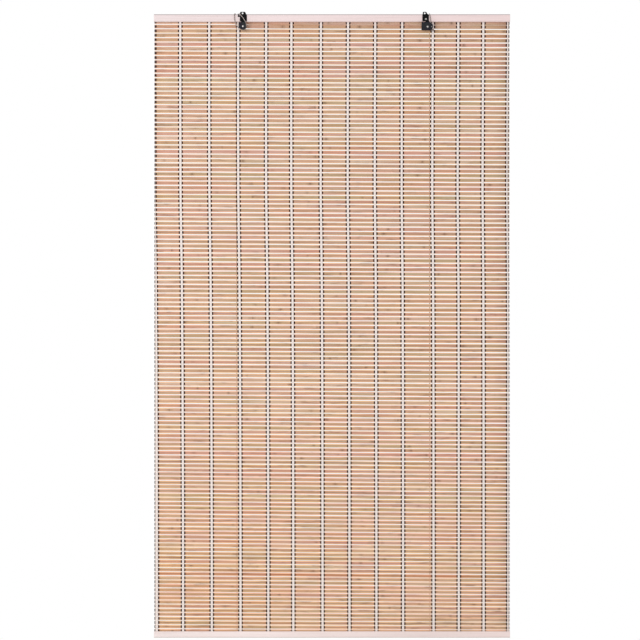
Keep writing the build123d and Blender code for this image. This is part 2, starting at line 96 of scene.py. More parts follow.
# How much the slats lean down to the right, in metres a metre, at shares of the drop
LEAN_SHARES = (0.0, 0.03, 0.13, 0.30, 0.49, 0.66, 0.79, 0.95, 1.0)
LEANS = (0.001, 0.003, 0.0048, 0.0062, 0.0046, 0.0088, 0.0106, 0.0080, 0.0020)
CROOKED_SLAT = 1            # sinks onto the slat below it, right of the left hanger
CROOKED_FROM = -0.27
CROOKED_TO = -0.2
CROOKED_SINK = 0.94         # share of the gap that closes there
SLAT_FULLNESS = 1.18        # split edges spread a little past the solid's slat
FULLNESS_LOSS = 0.05        # how much less they do at the foot


def smooth(value, low, high):
    """An eased step from 0 at low to 1 at high."""
    share = min(max((value - low) / (high - low), 0.0), 1.0)
    return share * share * (3 - 2 * share)


def slat_z(index, x):
    """Middle height of a slat at x."""
    lean = float(np.interp(index / (SLATS - 1), LEAN_SHARES, LEANS))
    height = middles[index] - lean * (x - mat_centre)
    if index == CROOKED_SLAT:
        gap = middles[index] - middles[index + 1] - SLAT_FULLNESS * SLAT_HEIGHT
        height -= CROOKED_SINK * gap * smooth(x, CROOKED_FROM, CROOKED_TO)
    return height


# Colours and node helpers


def linear(red, green, blue):
    """Scene-linear colour of an 8-bit screen colour."""
    steps = [value / 255 for value in (red, green, blue)]
    return [s / 12.92 if s <= 0.04045 else ((s + 0.055) / 1.055) ** 2.4 for s in steps] + [1.0]


class Finish:
    """A material with its main shader, and short calls for the nodes that feed it."""

    def __init__(self, name, colour, roughness, metallic=0.0):
        self.material = bpy.data.materials.new(name)
        self.material.use_nodes = True
        self.tree = self.material.node_tree
        self.shader = self.tree.nodes["Principled BSDF"]
        self.set(self.shader, {"Base Color": colour, "Roughness": roughness, "Metallic": metallic})
        self.place = self.node("ShaderNodeTexCoord").outputs["Object"]

    def node(self, kind, sockets=None, **settings):
        made = self.tree.nodes.new(kind)
        for key, value in settings.items():
            setattr(made, key, value)
        self.set(made, sockets or {})
        return made

    def set(self, node, sockets):
        for key, value in sockets.items():
            socket = node.inputs[key]
            if isinstance(value, bpy.types.NodeSocket):
                self.tree.links.new(value, socket)
            else:
                socket.default_value = value

    def stretched(self, across, depth, up):
        """Object coordinates scaled apart, for grain that runs one way."""
        sockets = {"Vector": self.place, "Scale": (across, depth, up)}
        return self.node("ShaderNodeMapping", sockets).outputs["Vector"]

    def noise(self, vector, scale, detail=3.0, distortion=0.0):
        sockets = {"Vector": vector, "Scale": scale, "Detail": detail, "Distortion": distortion}
        return self.node("ShaderNodeTexNoise", sockets).outputs["Fac"]

    def bands(self, direction, period, distortion=0.0, vector=None):
        """Ribs across X, Y, Z or the diagonal, one every period in metres."""
        scale = 2 * math.pi / (20 * period)
        sockets = {"Vector": vector or self.place, "Scale": scale, "Distortion": distortion}
        made = self.node("ShaderNodeTexWave", sockets, bands_direction=direction)
        return made.outputs["Fac"]

    def ramp(self, value, low, high, dark, light):
        """Turn a 0 to 1 value into a range, clamped between low and high."""
        sockets = {
            "Value": value, "From Min": low, "From Max": high, "To Min": dark, "To Max": light,
        }
        return self.node("ShaderNodeMapRange", sockets).outputs["Result"]

    def mix(self, share, first, second, mode="MIX"):
        made = self.node("ShaderNodeMix", data_type="RGBA", blend_type=mode)
        factor, a, b = made.inputs[0], made.inputs[6], made.inputs[7]
        for socket, value in ((factor, share), (a, first), (b, second)):
            if isinstance(value, bpy.types.NodeSocket):
                self.tree.links.new(value, socket)
            else:
                socket.default_value = value
        return made.outputs[2]

    def grey(self, value):
        """A single value as a colour, for multiplying."""
        sockets = {"Red": value, "Green": value, "Blue": value}
        return self.node("ShaderNodeCombineColor", sockets).outputs["Color"]

    def colour(self, value):
        self.set(self.shader, {"Base Color": value})

    def roughness(self, value):
        self.set(self.shader, {"Roughness": value})

    def bump(self, height, distance, strength=1.0, under=None):
        sockets = {"Height": height, "Distance": distance, "Strength": strength}
        if under is not None:
            sockets["Normal"] = under
        normal = self.node("ShaderNodeBump", sockets).outputs["Normal"]
        self.set(self.shader, {"Normal": normal})
        return normal


# Materials

EDGE_SHADE_REACH = 3.0 * MM         # how far the painted shade along a rail's outer edge reaches
foot_low, foot_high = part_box("bottom_rail_front")
head_rail_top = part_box("head_rail_front")[1].z


def bamboo_finish():
    made = Finish("bamboo", linear(200, 152, 120), 0.5)
    tint = made.node("ShaderNodeAttribute", attribute_name="tint").outputs["Color"]
    knot = made.node("ShaderNodeAttribute", attribute_name="knot").outputs["Fac"]
    fibre = made.noise(made.stretched(14, 300, 1500), 1.0, 4.0)
    flow = made.noise(made.stretched(7, 90, 90), 1.0, 2.0)
    stain = made.noise(made.stretched(22, 200, 150), 1.0, 3.0, 0.4)
    fleck = made.noise(made.stretched(240, 900, 900), 1.0, 2.0)
    streaked = made.mix(1.0, tint, made.grey(made.ramp(fibre, 0.3, 0.7, 0.86, 1.1)), "MULTIPLY")
    rosy = made.mix(made.ramp(flow, 0.52, 0.68, 0.0, 0.55), streaked, linear(200, 146, 130))
    olive = made.mix(made.ramp(flow, 0.48, 0.32, 0.0, 0.55), rosy, linear(184, 154, 114))
    stained = made.mix(made.ramp(stain, 0.57, 0.74, 0.0, 0.6), olive, linear(150, 108, 82))
    flecked = made.mix(made.ramp(fleck, 0.7, 0.8, 0.0, 0.5), stained, linear(104, 68, 48))
    made.colour(made.mix(knot, flecked, linear(112, 80, 58)))
    made.roughness(made.ramp(fibre, 0.2, 0.8, 0.62, 0.42))
    made.bump(fibre, 0.00012, 0.6)
    made.set(made.shader, {"Specular IOR Level": 0.35})
    return made.material


def tape_finish():
    made = Finish("cotton_tape", linear(243, 226, 214), 0.85)
    rib = made.bands("X", 1.2 * MM)
    twist = made.bands("DIAGONAL", 0.9 * MM, 1.0)
    fuzz = made.noise(made.stretched(900, 900, 250), 1.0, 3.0)
    shade = made.ramp(rib, 0.0, 0.5, 0.93, 1.0)
    ribbed = made.mix(1.0, linear(252, 240, 234), made.grey(shade), "MULTIPLY")
    fuzzed = made.mix(made.ramp(fuzz, 0.45, 0.75, 0.0, 0.3), ribbed, linear(232, 212, 200))
    made.colour(fuzzed)
    first = made.bump(rib, 0.0003, 0.8)
    made.bump(twist, 0.00012, 0.6, first)
    made.set(made.shader, {"Sheen Weight": 0.15, "Sheen Roughness": 0.6})
    return made.material


def yarn_finish():
    made = Finish("dark_yarn", linear(58, 32, 20), 0.9)
    tint = made.node("ShaderNodeAttribute", attribute_name="tint").outputs["Color"]
    ply = made.bands("DIAGONAL", 1.1 * MM, 0.6)
    fuzz = made.noise(made.place, 1400.0, 2.0)
    plied = made.mix(1.0, tint, made.grey(made.ramp(ply, 0.2, 0.9, 0.7, 1.1)), "MULTIPLY")
    made.colour(made.mix(made.ramp(fuzz, 0.65, 0.85, 0.0, 0.15), plied, linear(96, 60, 44)))
    made.bump(ply, 0.0003, 0.8)
    made.set(made.shader, {"Specular IOR Level": 0.05})
    return made.material


def rail_finish(name, edge_z, inward, edge_shade_tone, left_tone, right_tone):
    """Pale painted wood that shifts from left_tone to right_tone along the rail.

    Its outer long edge, at edge_z, is darkened towards the edge tone as painted shade.
    The rail lies below that edge where inward is -1, and above it where inward is 1.
    """
    made = Finish(name, linear(*left_tone), 0.45)
    grain = made.noise(made.stretched(5, 260, 420), 1.0, 5.0, 0.6)
    cloud = made.noise(made.stretched(3, 12, 30), 1.0, 2.0)
    scuff = made.noise(made.stretched(70, 300, 300), 1.0, 4.0)
    axes = made.node("ShaderNodeSeparateXYZ", {"Vector": made.place})
    along = made.ramp(axes.outputs["X"], foot_low.x, foot_high.x, 0.0, 1.0)
    toned = made.mix(along, linear(*left_tone), linear(*right_tone))
    clouded = made.mix(1.0, toned, made.grey(made.ramp(cloud, 0.35, 0.65, 0.95, 1.03)), "MULTIPLY")
    veined = made.mix(made.ramp(grain, 0.5, 0.72, 0.0, 0.4), clouded, linear(208, 186, 180))
    scuffed = made.mix(made.ramp(scuff, 0.66, 0.78, 0.0, 0.3), veined, linear(190, 164, 148))
    # Painted shade: the colour darkens towards the rail's outer long edge.
    edge_shade = made.ramp(axes.outputs["Z"], edge_z + inward * EDGE_SHADE_REACH, edge_z, 0.0, 0.9)
    made.colour(made.mix(edge_shade, scuffed, linear(*edge_shade_tone)))
    made.roughness(made.ramp(grain, 0.3, 0.7, 0.38, 0.55))
    made.bump(grain, 0.00018, 0.5)
    made.set(made.shader, {"Coat Weight": 0.1, "Coat Roughness": 0.3})
    return made.material


def enamel_finish():
    made = Finish("black_enamel", linear(6, 5, 7), 0.4)
    skin = made.noise(made.place, 900.0, 2.0)
    wear = made.noise(made.place, 520.0, 5.0)
    chipped = made.ramp(wear, 0.66, 0.76, 0.0, 0.6)
    made.colour(made.mix(chipped, linear(7, 6, 8), linear(46, 42, 44)))
    made.roughness(made.ramp(wear, 0.3, 0.7, 0.36, 0.55))
    made.bump(skin, 0.00012, 0.35)
    made.set(made.shader, {"Specular IOR Level": 0.1, "Coat Weight": 0.02, "Coat Roughness": 0.2})
    return made.material


def case_finish():
    made = Finish("pressed_steel", linear(26, 22, 32), 0.4)
    skin = made.noise(made.place, 700.0, 3.0)
    wear = made.noise(made.place, 380.0, 5.0)
    cloud = made.noise(made.place, 160.0, 2.0)
    tone = made.mix(made.ramp(cloud, 0.35, 0.65, 0.0, 1.0), linear(26, 20, 36), linear(38, 42, 42))
    made.colour(made.mix(made.ramp(wear, 0.6, 0.8, 0.0, 0.4), tone, linear(86, 80, 88)))
    made.roughness(made.ramp(skin, 0.3, 0.7, 0.32, 0.5))
    made.bump(skin, 0.0001, 0.3)
    made.set(made.shader, {"Specular IOR Level": 0.18})
    return made.material


def bright_finish(name, base, dull):
    made = Finish(name, base, 0.25, 1.0)
    rub = made.noise(made.place, 1500.0, 4.0)
    made.colour(made.mix(made.ramp(rub, 0.4, 0.75, 0.0, 0.6), base, dull))
    made.roughness(made.ramp(rub, 0.3, 0.7, 0.18, 0.4))
    made.bump(rub, 0.00005, 0.4)
    return made.material


def plastic_finish():
    made = Finish("wheel_plastic", linear(36, 36, 40), 0.4)
    skin = made.noise(made.place, 1100.0, 3.0)
    # Painted sheen: lighter patches on the dark plastic stand in for its gloss.
    sheen_patches = made.ramp(skin, 0.4, 0.7, 0.0, 1.0)
    made.colour(made.mix(sheen_patches, linear(34, 34, 38), linear(58, 57, 60)))
    made.roughness(made.ramp(skin, 0.3, 0.7, 0.32, 0.5))
    made.bump(skin, 0.00008, 0.4)
    return made.material


def cord_finish():
    made = Finish("braided_cord", linear(206, 202, 196), 0.8)
    ply = made.bands("DIAGONAL", 1.1 * MM)
    shade = made.mix(made.ramp(ply, 0.1, 0.9, 0.0, 1.0), linear(92, 76, 74), linear(212, 198, 192))
    fuzz = made.noise(made.place, 1300.0, 3.0)
    made.colour(made.mix(made.ramp(fuzz, 0.5, 0.8, 0.0, 0.4), shade, linear(146, 130, 122)))
    made.bump(ply, 0.0002, 0.8)
    made.set(made.shader, {"Sheen Weight": 0.15, "Sheen Roughness": 0.5})
    return made.material


bamboo = bamboo_finish()
cotton = tape_finish()
yarn = yarn_finish()
# In each rail's paint, the first colour is the painted shade along its outer edge.
head_paint = rail_finish(
    "head_rail_paint", head_rail_top, -1, (136, 118, 120), (236, 220, 220), (246, 223, 222)
)
foot_paint = rail_finish(
    "bottom_rail_paint", foot_low.z, 1, (206, 196, 192), (249, 235, 233), (244, 225, 222)
)
enamel = enamel_finish()
pressed = case_finish()
bright = bright_finish("bright_steel", linear(214, 210, 206), linear(150, 146, 142))
nail_steel = bright_finish("nail_steel", linear(150, 146, 140), linear(104, 96, 88))
nylon = plastic_finish()
cord_fibre = cord_finish()


# Mesh helpers


class Form:
    """Collects rings of points into one closed mesh, one loft after another."""

    def __init__(self):
        self.points = []
        self.faces = []
        self.tints = []
        self.knots = []

    def loft(self, rings, tints=(), knots=()):
        """Skin a row of equal rings and close both ends. Tints and knots go point by point."""
        start = len(self.points)
        size = len(rings[0])
        for ring in rings:
            self.points.extend(ring)
        for shades in tints:
            self.tints.extend(shades)
        for marks in knots:
            self.knots.extend(marks)
        for step in range(len(rings) - 1):
            here = start + step * size
            there = here + size
            for side in range(size):
                after = (side + 1) % size
                self.faces.append((here + side, here + after, there + after, there + side))
        last = start + (len(rings) - 1) * size
        self.faces.append(tuple(start + side for side in reversed(range(size))))
        self.faces.append(tuple(last + side for side in range(size)))

    def piece(self, name, material):
        mesh = bpy.data.meshes.new(name)
        mesh.from_pydata(self.points, [], self.faces)
        if self.tints:
            layer = mesh.attributes.new("tint", "FLOAT_COLOR", "POINT")
            layer.data.foreach_set("color", np.array(self.tints, np.float32).ravel())
        if self.knots:
            marks = mesh.attributes.new("knot", "FLOAT", "POINT")
            marks.data.foreach_set("value", np.array(self.knots, np.float32))
        mesh.validate()
        mesh.polygons.foreach_set("use_smooth", [True] * len(mesh.polygons))
        mesh.materials.append(material)
        made = bpy.data.objects.new(name, mesh)
        bpy.context.scene.collection.objects.link(made)
        return made


# Slats

EDGE_BEVEL = 1.5 * MM       # height of a split edge at the top of the mat
BEVEL_GAIN = 0.9 * MM       # and how much it grows down to the foot


def slat_section(share):
    """Section of a split slat as (depth, height, paleness): dark skin, pale split edges.

    Further down the drop, share, the skins are narrower and more of the edges shows.
    """
    half = (SLAT_FULLNESS - FULLNESS_LOSS * share) * SLAT_HEIGHT / 2
    depth = SLAT_BACK - SLAT_FRONT
    bevel = EDGE_BEVEL + BEVEL_GAIN * share
    lower = [
        (0.0, 0.0, 0.0),
        (0.02 * depth, -half + bevel + 0.45 * MM, 0.0),
        (0.09 * depth, -half + bevel, 0.85),
        (0.45 * depth, -half + 0.1 * MM, 1.0),
        (0.92 * depth, -half, 0.9),
        (depth, -half + 0.6 * MM, 0.2),
    ]
    upper = [(y, -z, pale) for y, z, pale in reversed(lower[1:])]
    return lower + upper


# Screen colours of the slats' skins, each with how often it comes up
SLAT_TINTS = (
    ((196, 159, 134), 5),
    ((205, 170, 146), 3),
    ((201, 153, 137), 3),
    ((189, 161, 129), 3),
    ((182, 146, 122), 2),
    ((197, 156, 126), 3),
)
ORANGE_TINT = (194, 134, 98)
ORANGE_FROM = 0.8           # share of the drop below which orange slats come up
ORANGE_CHANCE = 0.12
TINT_LIFT = (0.97, 1.03)
SPLIT_EDGES = ((255, 202, 154), (255, 209, 162), (255, 192, 156), (252, 206, 148), (255, 198, 158))
FOOT_WARMTH = 0.11          # how much redder the slats are at the foot, on the left
WARM_DROP = (0.6, 1.0)      # shares of the drop over which the warmth sets in
WARM_ACROSS = (-0.35, 0.15)  # and the stretch across the blind over which it fades
DRIFT = 0.06                # how far a slat's hue wanders along it

SLAT_STEPS = 22
END_LOSS = 0.6 * MM         # how much shorter a slat's end may be
KNOT_FIRST = (0.02, 0.3)    # metres from a slat's left end to its first knot
KNOT_APART = (0.13, 0.33)
KNOT_FROM_END = 0.01        # nearer than this to an end, there is none
KNOT_MARKS = (0.15, 0.25, 0.4, 0.7)
KNOT_SPREAD = (0.6, 1.5)    # how far the profile below is drawn out
KNOT_PROFILE = (            # millimetres along the slat, and share of the knot's mark
    (-9.0, 0.0), (-3.0, 0.5), (0.0, 1.0), (2.0, 0.55), (7.0, 0.0),
)
KNOT_PROUD = 0.14 * MM      # how far a knot stands out of the front skin
FRONT_DEPTH = 0.3 * MM      # what counts as the front skin
KNOT_SWELL = 0.03
SWELL = 0.012               # how much a slat's height varies along it
TURN = 6.3                  # a full turn, for a wave's phase
CROOKED_CALM = 0.3          # share of its own waves that the crooked slat keeps
CLOSED_GAP_SHADE = 0.85       # share of the split edges' paleness painted over as shade where its gap is closed


def slat_tint(index, dice):
    """One slat's own colour."""
    choices = [tint for tint, weight in SLAT_TINTS for _ in range(weight)]
    base = dice.choice(choices)
    if index / (SLATS - 1) > ORANGE_FROM and dice.random() < ORANGE_CHANCE:
        base = ORANGE_TINT
    lift = dice.uniform(*TINT_LIFT)
    return [channel * lift for channel in base]


def warmth(index, x):
    """Redder wood at the lower left of the blind."""
    share = index / (SLATS - 1)
    return FOOT_WARMTH * smooth(share, *WARM_DROP) * (1 - smooth(x, *WARM_ACROSS))


def ripples(dice, slowest, fastest):
    """Rates and phases of two waves along a slat."""
    return [(dice.uniform(slowest, fastest), dice.uniform(0, TURN)) for _ in range(2)]


def ripple_at(waves, x):
    return sum(math.sin(rate * x + phase) for rate, phase in waves)


def slat_stations(start, end, dice):
    """Places along a slat, each with the strength of the knot there."""
    stations = {start + (end - start) * step / SLAT_STEPS: 0.0 for step in range(SLAT_STEPS + 1)}
    knot_x = start + dice.uniform(*KNOT_FIRST)
    while knot_x < end - KNOT_FROM_END:
        if knot_x > start + KNOT_FROM_END:
            mark = dice.choice(KNOT_MARKS)
            spread = dice.uniform(*KNOT_SPREAD)
            for offset, share in KNOT_PROFILE:
                stations[knot_x + offset * MM * spread] = share * mark
        knot_x += dice.uniform(*KNOT_APART)
    return sorted(stations.items())


def make_slats():
    dice = random.Random(71)
    form = Form()
    left, right = mat_low.x, mat_high.x
    for index in range(SLATS):
        section = slat_section(index / (SLATS - 1))
        start = left + dice.uniform(0.0, END_LOSS)
        end = right - dice.uniform(0.0, END_LOSS)
        stations = slat_stations(start, end, dice)
        waves = [
            (dice.uniform(3, 9), dice.uniform(0, TURN), dice.uniform(0.04, 0.14) * MM)
            for _ in range(3)
        ]
        swell = ripples(dice, 8, 30)
        calm = CROOKED_CALM if index == CROOKED_SLAT else 1.0
        gap_shade = CLOSED_GAP_SHADE if index in (CROOKED_SLAT, CROOKED_SLAT + 1) else 0.0
        tint = slat_tint(index, dice)
        hues = ripples(dice, 7, 30)
        edge = dice.choice(SPLIT_EDGES)
        rings = []
        shades = []
        marks = []
        for x, mark in stations:
            rise = calm * sum(size * math.sin(rate * x + phase) for rate, phase, size in waves)
            tall = 1 + SWELL * ripple_at(swell, x) + KNOT_SWELL * mark
            middle = slat_z(index, x) + rise
            rings.append([
                (
                    x,
                    SLAT_FRONT + depth - (KNOT_PROUD * mark if depth < FRONT_DEPTH else 0.0),
                    middle + height * tall,
                )
                for depth, height, _ in section
            ])
            # Painted shade: where the crooked slat closes its gap, the split edges of both slats
            # lose their paleness.
            closed = gap_shade * smooth(x, CROOKED_FROM, CROOKED_TO)
            wander = 0.5 * DRIFT * ripple_at(hues, x)
            warm = warmth(index, x)
            here = (
                tint[0],
                tint[1] * (1 + wander - 0.5 * warm),
                tint[2] * (1 + 1.6 * wander - 1.4 * warm),
            )
            shades.append([
                linear(*[a + (b - a) * pale * (1 - closed) for a, b in zip(here, edge)])
                for _, _, pale in section
            ])
            marks.append([mark * (1 - pale) for _, _, pale in section])
        form.loft(rings, shades, marks)
    return form.piece("bamboo_slats", bamboo)


# Woven bands

BANDS = 14
WEAVE_EXCESS = 0.5 * MM     # how far the weave runs on behind the rails
SLAT_SHOULDER = 0.36        # share of a slat's height from its middle to where the weave turns in
SHOULDER_DIP = 0.12
RAIL_DIP = 0.9
LEVEL_MARGIN = 0.1 * MM


def levels(node, fixed):
    """Edges of a band's front face as (z, x, x, ...) rows, from the bottom up.

    Edges that run straight down have no corners on the way, and are given as fixed.
    """
    rows = {}
    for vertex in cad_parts[node].data.vertices:
        inside = weave_bottom - LEVEL_MARGIN < vertex.co.z < weave_top + LEVEL_MARGIN
        if inside and vertex.co.y < FRONT_Y + LEVEL_MARGIN:
            rows.setdefault(round(vertex.co.z, 5), set()).add(round(vertex.co.x, 6))
    return np.array(sorted((z, *fixed, *sorted(xs)) for z, xs in rows.items()))


def edge_at(rows, column, z):
    """One edge of a band at height z."""
    return float(np.interp(z, rows[:, 0], rows[:, column + 1]))


def weave_rows(x):
    """Heights down a band at x, each with how far the weave is pressed in there."""
    rows = [(weave_top + WEAVE_EXCESS, RAIL_DIP)]
    heights = [slat_z(index, x) for index in range(SLATS)]
    for index, middle in enumerate(heights):
        rows.append((middle + SLAT_SHOULDER * SLAT_HEIGHT, SHOULDER_DIP))
        rows.append((middle, 0.0))
        rows.append((middle - SLAT_SHOULDER * SLAT_HEIGHT, SHOULDER_DIP))
        if index < SLATS - 1:
            rows.append(((middle + heights[index + 1]) / 2, 1.0))
    last = min(weave_bottom, heights[-1] - SLAT_HEIGHT / 2)
    rows.append((last - WEAVE_EXCESS, RAIL_DIP))
    return rows


TAPE_DIP = 0.6 * MM         # how far the tape is drawn in between two slats
TAPE_CLEAR = 0.02 * MM
TAPE_SKIN = 0.32 * MM
TAPE_PINCH = 0.03           # share of its width that the tape loses between two slats
PINCH_RIPPLE = 0.4
RIPPLE_RATE = 90
TAPE_TUCK = 0.1             # how far the tape's inner corners are set in, as a share of its width
TAPE_CROWN = (              # share of the width, and of the skin that the face lies back there
    (0.0, 0.5), (0.14, 0.12), (0.5, 0.0), (0.86, 0.12), (1.0, 0.5),
)


def make_tape(number, dice):
    """A pale tape down the front of the slats and another down the back."""
    node = f"woven_tape_{number:02d}"
    low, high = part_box(node)
    edges = levels(node, (low.x,) if number == 1 else ())
    form = Form()
    for face, inward in ((FRONT_Y, 1), (BACK_Y, -1)):
        phase = dice.uniform(0, TURN)
        rings = []
        for z, dip in weave_rows((low.x + high.x) / 2):
            left, right = edge_at(edges, 0, z), edge_at(edges, 1, z)
            ripple = PINCH_RIPPLE * math.sin(RIPPLE_RATE * z + phase)
            pinch = TAPE_PINCH * (right - left) * (dip + ripple)
            left, right = left + pinch, right - pinch
            outer = face + inward * (TAPE_DIP * dip + TAPE_CLEAR)
            inner = outer + inward * TAPE_SKIN
            tuck = TAPE_TUCK * (right - left)
            ring = [
                (left + (right - left) * share, outer + inward * TAPE_SKIN * sink, z)
                for share, sink in TAPE_CROWN
            ]
            ring.append((right - tuck, inner, z))
            ring.append((left + tuck, inner, z))
            rings.append(ring if inward == 1 else list(reversed(ring)))
        form.loft(rings)
    return form.piece(f"tape_weave_{number:02d}", cotton)


STITCH_STAND = 0.5 * MM     # how far a stitch stands off its slat
STITCH_SINK = 0.05          # share of that by which its edges lie in the slat
STITCH_STRAY = 0.12 * MM
STITCH_WIDTHS = (0.94, 1.06)
STITCH_REACHES = (0.84, 0.95)
YARN_SPREAD = 1.42          # the loose yarn flattens past the solid's
LEFT_YARN_WIDTH = 1.6 * MM
# Along a stitch: shares of its reach, its half width and its stand
STITCH_RINGS = (
    (1.0, 0.5, -0.6), (0.8, 0.92, 0.6), (0.0, 1.0, 0.98), (-0.8, 0.92, 0.6), (-1.0, 0.5, -0.6),
)
# Across it: share of its half width, and whether the yarn stands up there
STITCH_ACROSS = ((-1.0, False), (-0.7, True), (0.7, True), (1.0, False))
YARN_TINTS = ((50, 14, 14), (64, 24, 18), (40, 10, 12))
FADED_TINTS = ((146, 136, 132), (186, 170, 164))


def stitch_tint(outermost, z, dice):
    """Dark brown, but the outermost yarn on the right is a pale one that fades downward."""
    if not outermost:
        return dice.choice(YARN_TINTS)
    share = (weave_top - z) / (weave_top - weave_bottom)
    return [a + (b - a) * share for a, b in zip(*FADED_TINTS)]


def make_stitches(number, dice):
    """Yarn laid over each slat in short stitches, in two columns, on both faces."""
    node = f"dark_yarns_{number:02d}"
    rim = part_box(node)[0].x
    edges = levels(node, (rim, rim + LEFT_YARN_WIDTH) if number == 1 else ())
    form = Form()
    for column in (0, 2):
        outermost = number == BANDS and column == 2
        for face, outward in ((SLAT_FRONT, -1), (SLAT_BACK, 1)):
            for index, level in enumerate(middles):
                left, right = edge_at(edges, column, level), edge_at(edges, column + 1, level)
                x = (left + right) / 2 + dice.uniform(-STITCH_STRAY, STITCH_STRAY)
                middle = slat_z(index, x)
                half_width = YARN_SPREAD * (right - left) / 2 * dice.uniform(*STITCH_WIDTHS)
                slant = dice.uniform(-STITCH_STRAY, STITCH_STRAY)
                reach = 0.5 * SLAT_HEIGHT * dice.uniform(*STITCH_REACHES)
                tint = linear(*stitch_tint(outermost, middle, dice))
                rings = []
                for share, wide, stand in STITCH_RINGS:
                    flat = min(stand, 0.0) - STITCH_SINK
                    ring = [
                        (
                            x + slant * share + half_width * wide * side,
                            face + outward * STITCH_STAND * (stand if lift else flat),
                            middle + reach * share,
                        )
                        for side, lift in STITCH_ACROSS
                    ]
                    rings.append(ring if outward == -1 else list(reversed(ring)))
                form.loft(rings, [[tint] * len(STITCH_ACROSS)] * len(STITCH_RINGS))
    return form.piece(f"yarn_stitches_{number:02d}", yarn)


# Cords: the routes' points, from the eye on the bottom rail upward, in metres

LEFT_ROUTE = (
    (-0.2445, 0.0189, -1.5603),
    (-0.2460, 0.0166, -0.0142),
    (-0.2470, 0.0183, -0.0002),
    (-0.2512, -0.0030, -0.0002),
    (-0.2500, -0.0016, -0.0180),
    (-0.2465, -0.0050, -0.0325),
    (-0.2288, -0.0060, -0.04475),
    (-0.2204, -0.0060, -0.0379),
    (-0.2212, -0.0046, -0.0215),
    (-0.2383, -0.0042, -0.0001),
    (-0.2383, 0.0183, -0.0001),
    (-0.2383, 0.0172, -0.0142),
)
RIGHT_ROUTE = (
    (0.2440, 0.0189, -1.5603),
    (0.2430, 0.0166, -0.0142),
    (0.2422, 0.0183, -0.0002),
    (0.2420, -0.0030, -0.0002),
    (0.2452, -0.0013, -0.0185),
    (0.2439, -0.0060, -0.0315),
    (0.2439, -0.0060, -0.0383),
    (0.2510, -0.0060, -0.0433),
)
CORD_RADIUS = 1.0 * MM
KNOT_CORD = 0.85 * CORD_RADIUS  # the cord is drawn thinner in a knot
KNOT_STEPS = 48
KNOT_SIDES = 8


def make_cord(name, route, node):
    curve = bpy.data.curves.new(name, "CURVE")
    curve.dimensions = "3D"
    curve.bevel_depth = CORD_RADIUS
    curve.bevel_resolution = 3
    curve.resolution_u = 12
    curve.use_fill_caps = True
    line = curve.splines.new("NURBS")
    line.points.add(len(route) - 1)
    for point, place in zip(line.points, route):
        point.co = (*place, 1.0)
    line.order_u = 3
    line.use_endpoint_u = True
    curve.materials.append(cord_fibre)
    made = bpy.data.objects.new(name, curve)
    bpy.context.scene.collection.objects.link(made)
    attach(made, BODY)
    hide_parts(node)
    return made


def make_knot(name, node, spread, seed):
    """Overhand knot: the cord's own thickness wound through a trefoil."""
    low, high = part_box(node)
    centre = (low + high) / 2
    turn = random.Random(seed).uniform(0, TURN)
    line = []
    for step in range(KNOT_STEPS):
        t = 2 * math.pi * step / KNOT_STEPS
        wide = math.sin(t + turn) + 2 * math.sin(2 * t + 2 * turn)
        tall = math.cos(t + turn) - 2 * math.cos(2 * t + 2 * turn)
        deep = -math.sin(3 * t + 3 * turn)
        line.append(centre + Vector((wide * spread[0] / 3, deep * spread[1], tall * spread[2] / 3)))
    form = Form()
    for step in range(KNOT_STEPS):
        ahead = (line[(step + 1) % KNOT_STEPS] - line[step - 1]).normalized()
        side = ahead.cross(Vector((0, 1, 0))).normalized()
        lift = side.cross(ahead)
        here = step * KNOT_SIDES
        there = (step + 1) % KNOT_STEPS * KNOT_SIDES
        for k in range(KNOT_SIDES):
            angle = 2 * math.pi * k / KNOT_SIDES
            round_cord = math.cos(angle) * side + math.sin(angle) * lift
            form.points.append(tuple(line[step] + KNOT_CORD * round_cord))
            after = (k + 1) % KNOT_SIDES
            form.faces.append((here + k, here + after, there + after, there + k))
    made = form.piece(name, cord_fibre)
    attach(made, BODY)
    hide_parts(node)
    return made


# How far a knot's cord runs out from its middle, along X, Y and Z
FOOT_SPREAD = (2.0 * MM, 0.9 * MM, 2.2 * MM)
HEAD_SPREAD = (4.2 * MM, 0.9 * MM, 2.4 * MM)
LOCK_SPREAD = (1.9 * MM, 0.9 * MM, 1.9 * MM)

cord_left = make_cord("cord_left", LEFT_ROUTE, "lift_cord_left")
cord_right = make_cord("cord_right", RIGHT_ROUTE, "lift_cord_right")
knot_left_foot = make_knot("knot_left_foot", "bottom_knot_left", FOOT_SPREAD, 1)
knot_right_foot = make_knot("knot_right_foot", "bottom_knot_right", FOOT_SPREAD, 2)
knot_left_head = make_knot("knot_left_head", "head_knot_left", HEAD_SPREAD, 3)
knot_lock = make_knot("knot_lock", "lock_knot_right", LOCK_SPREAD, 4)


# The pieces

slats = make_slats()
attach(slats, BODY)
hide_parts("bamboo_mat")

for number in range(1, BANDS + 1):
    dice = random.Random(100 + number)
    tape = make_tape(number, dice)
    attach(tape, BODY)
    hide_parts(f"woven_tape_{number:02d}")
    stitches = make_stitches(number, dice)
    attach(stitches, BODY)
    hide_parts(f"dark_yarns_{number:02d}")

# The nails stop inside the bottom rail, but the solids' nail holes run on through its
# face. Flat discs of painted filler close them there.
FILLER_RADIUS = 0.87 * MM   # just past the nail hole's
FILLER_DEPTH = 1.0 * MM
FILLER_PROUD = 0.01 * MM
FILLER_SIDES = 32
NAILS_APART = 10 * MM       # wider than a nail, and less than the space between two


def nail_places():
    """Middle of each nail in the bottom rail, as (x, z)."""
    points = sorted((v.co.x, v.co.z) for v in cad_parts["bottom_rail_nails"].data.vertices)
    groups = [[points[0]]]
    for point in points[1:]:
        if point[0] - groups[-1][-1][0] > NAILS_APART:
            groups.append([])
        groups[-1].append(point)
    return [
        tuple((min(values) + max(values)) / 2 for values in zip(*group))
        for group in groups
    ]


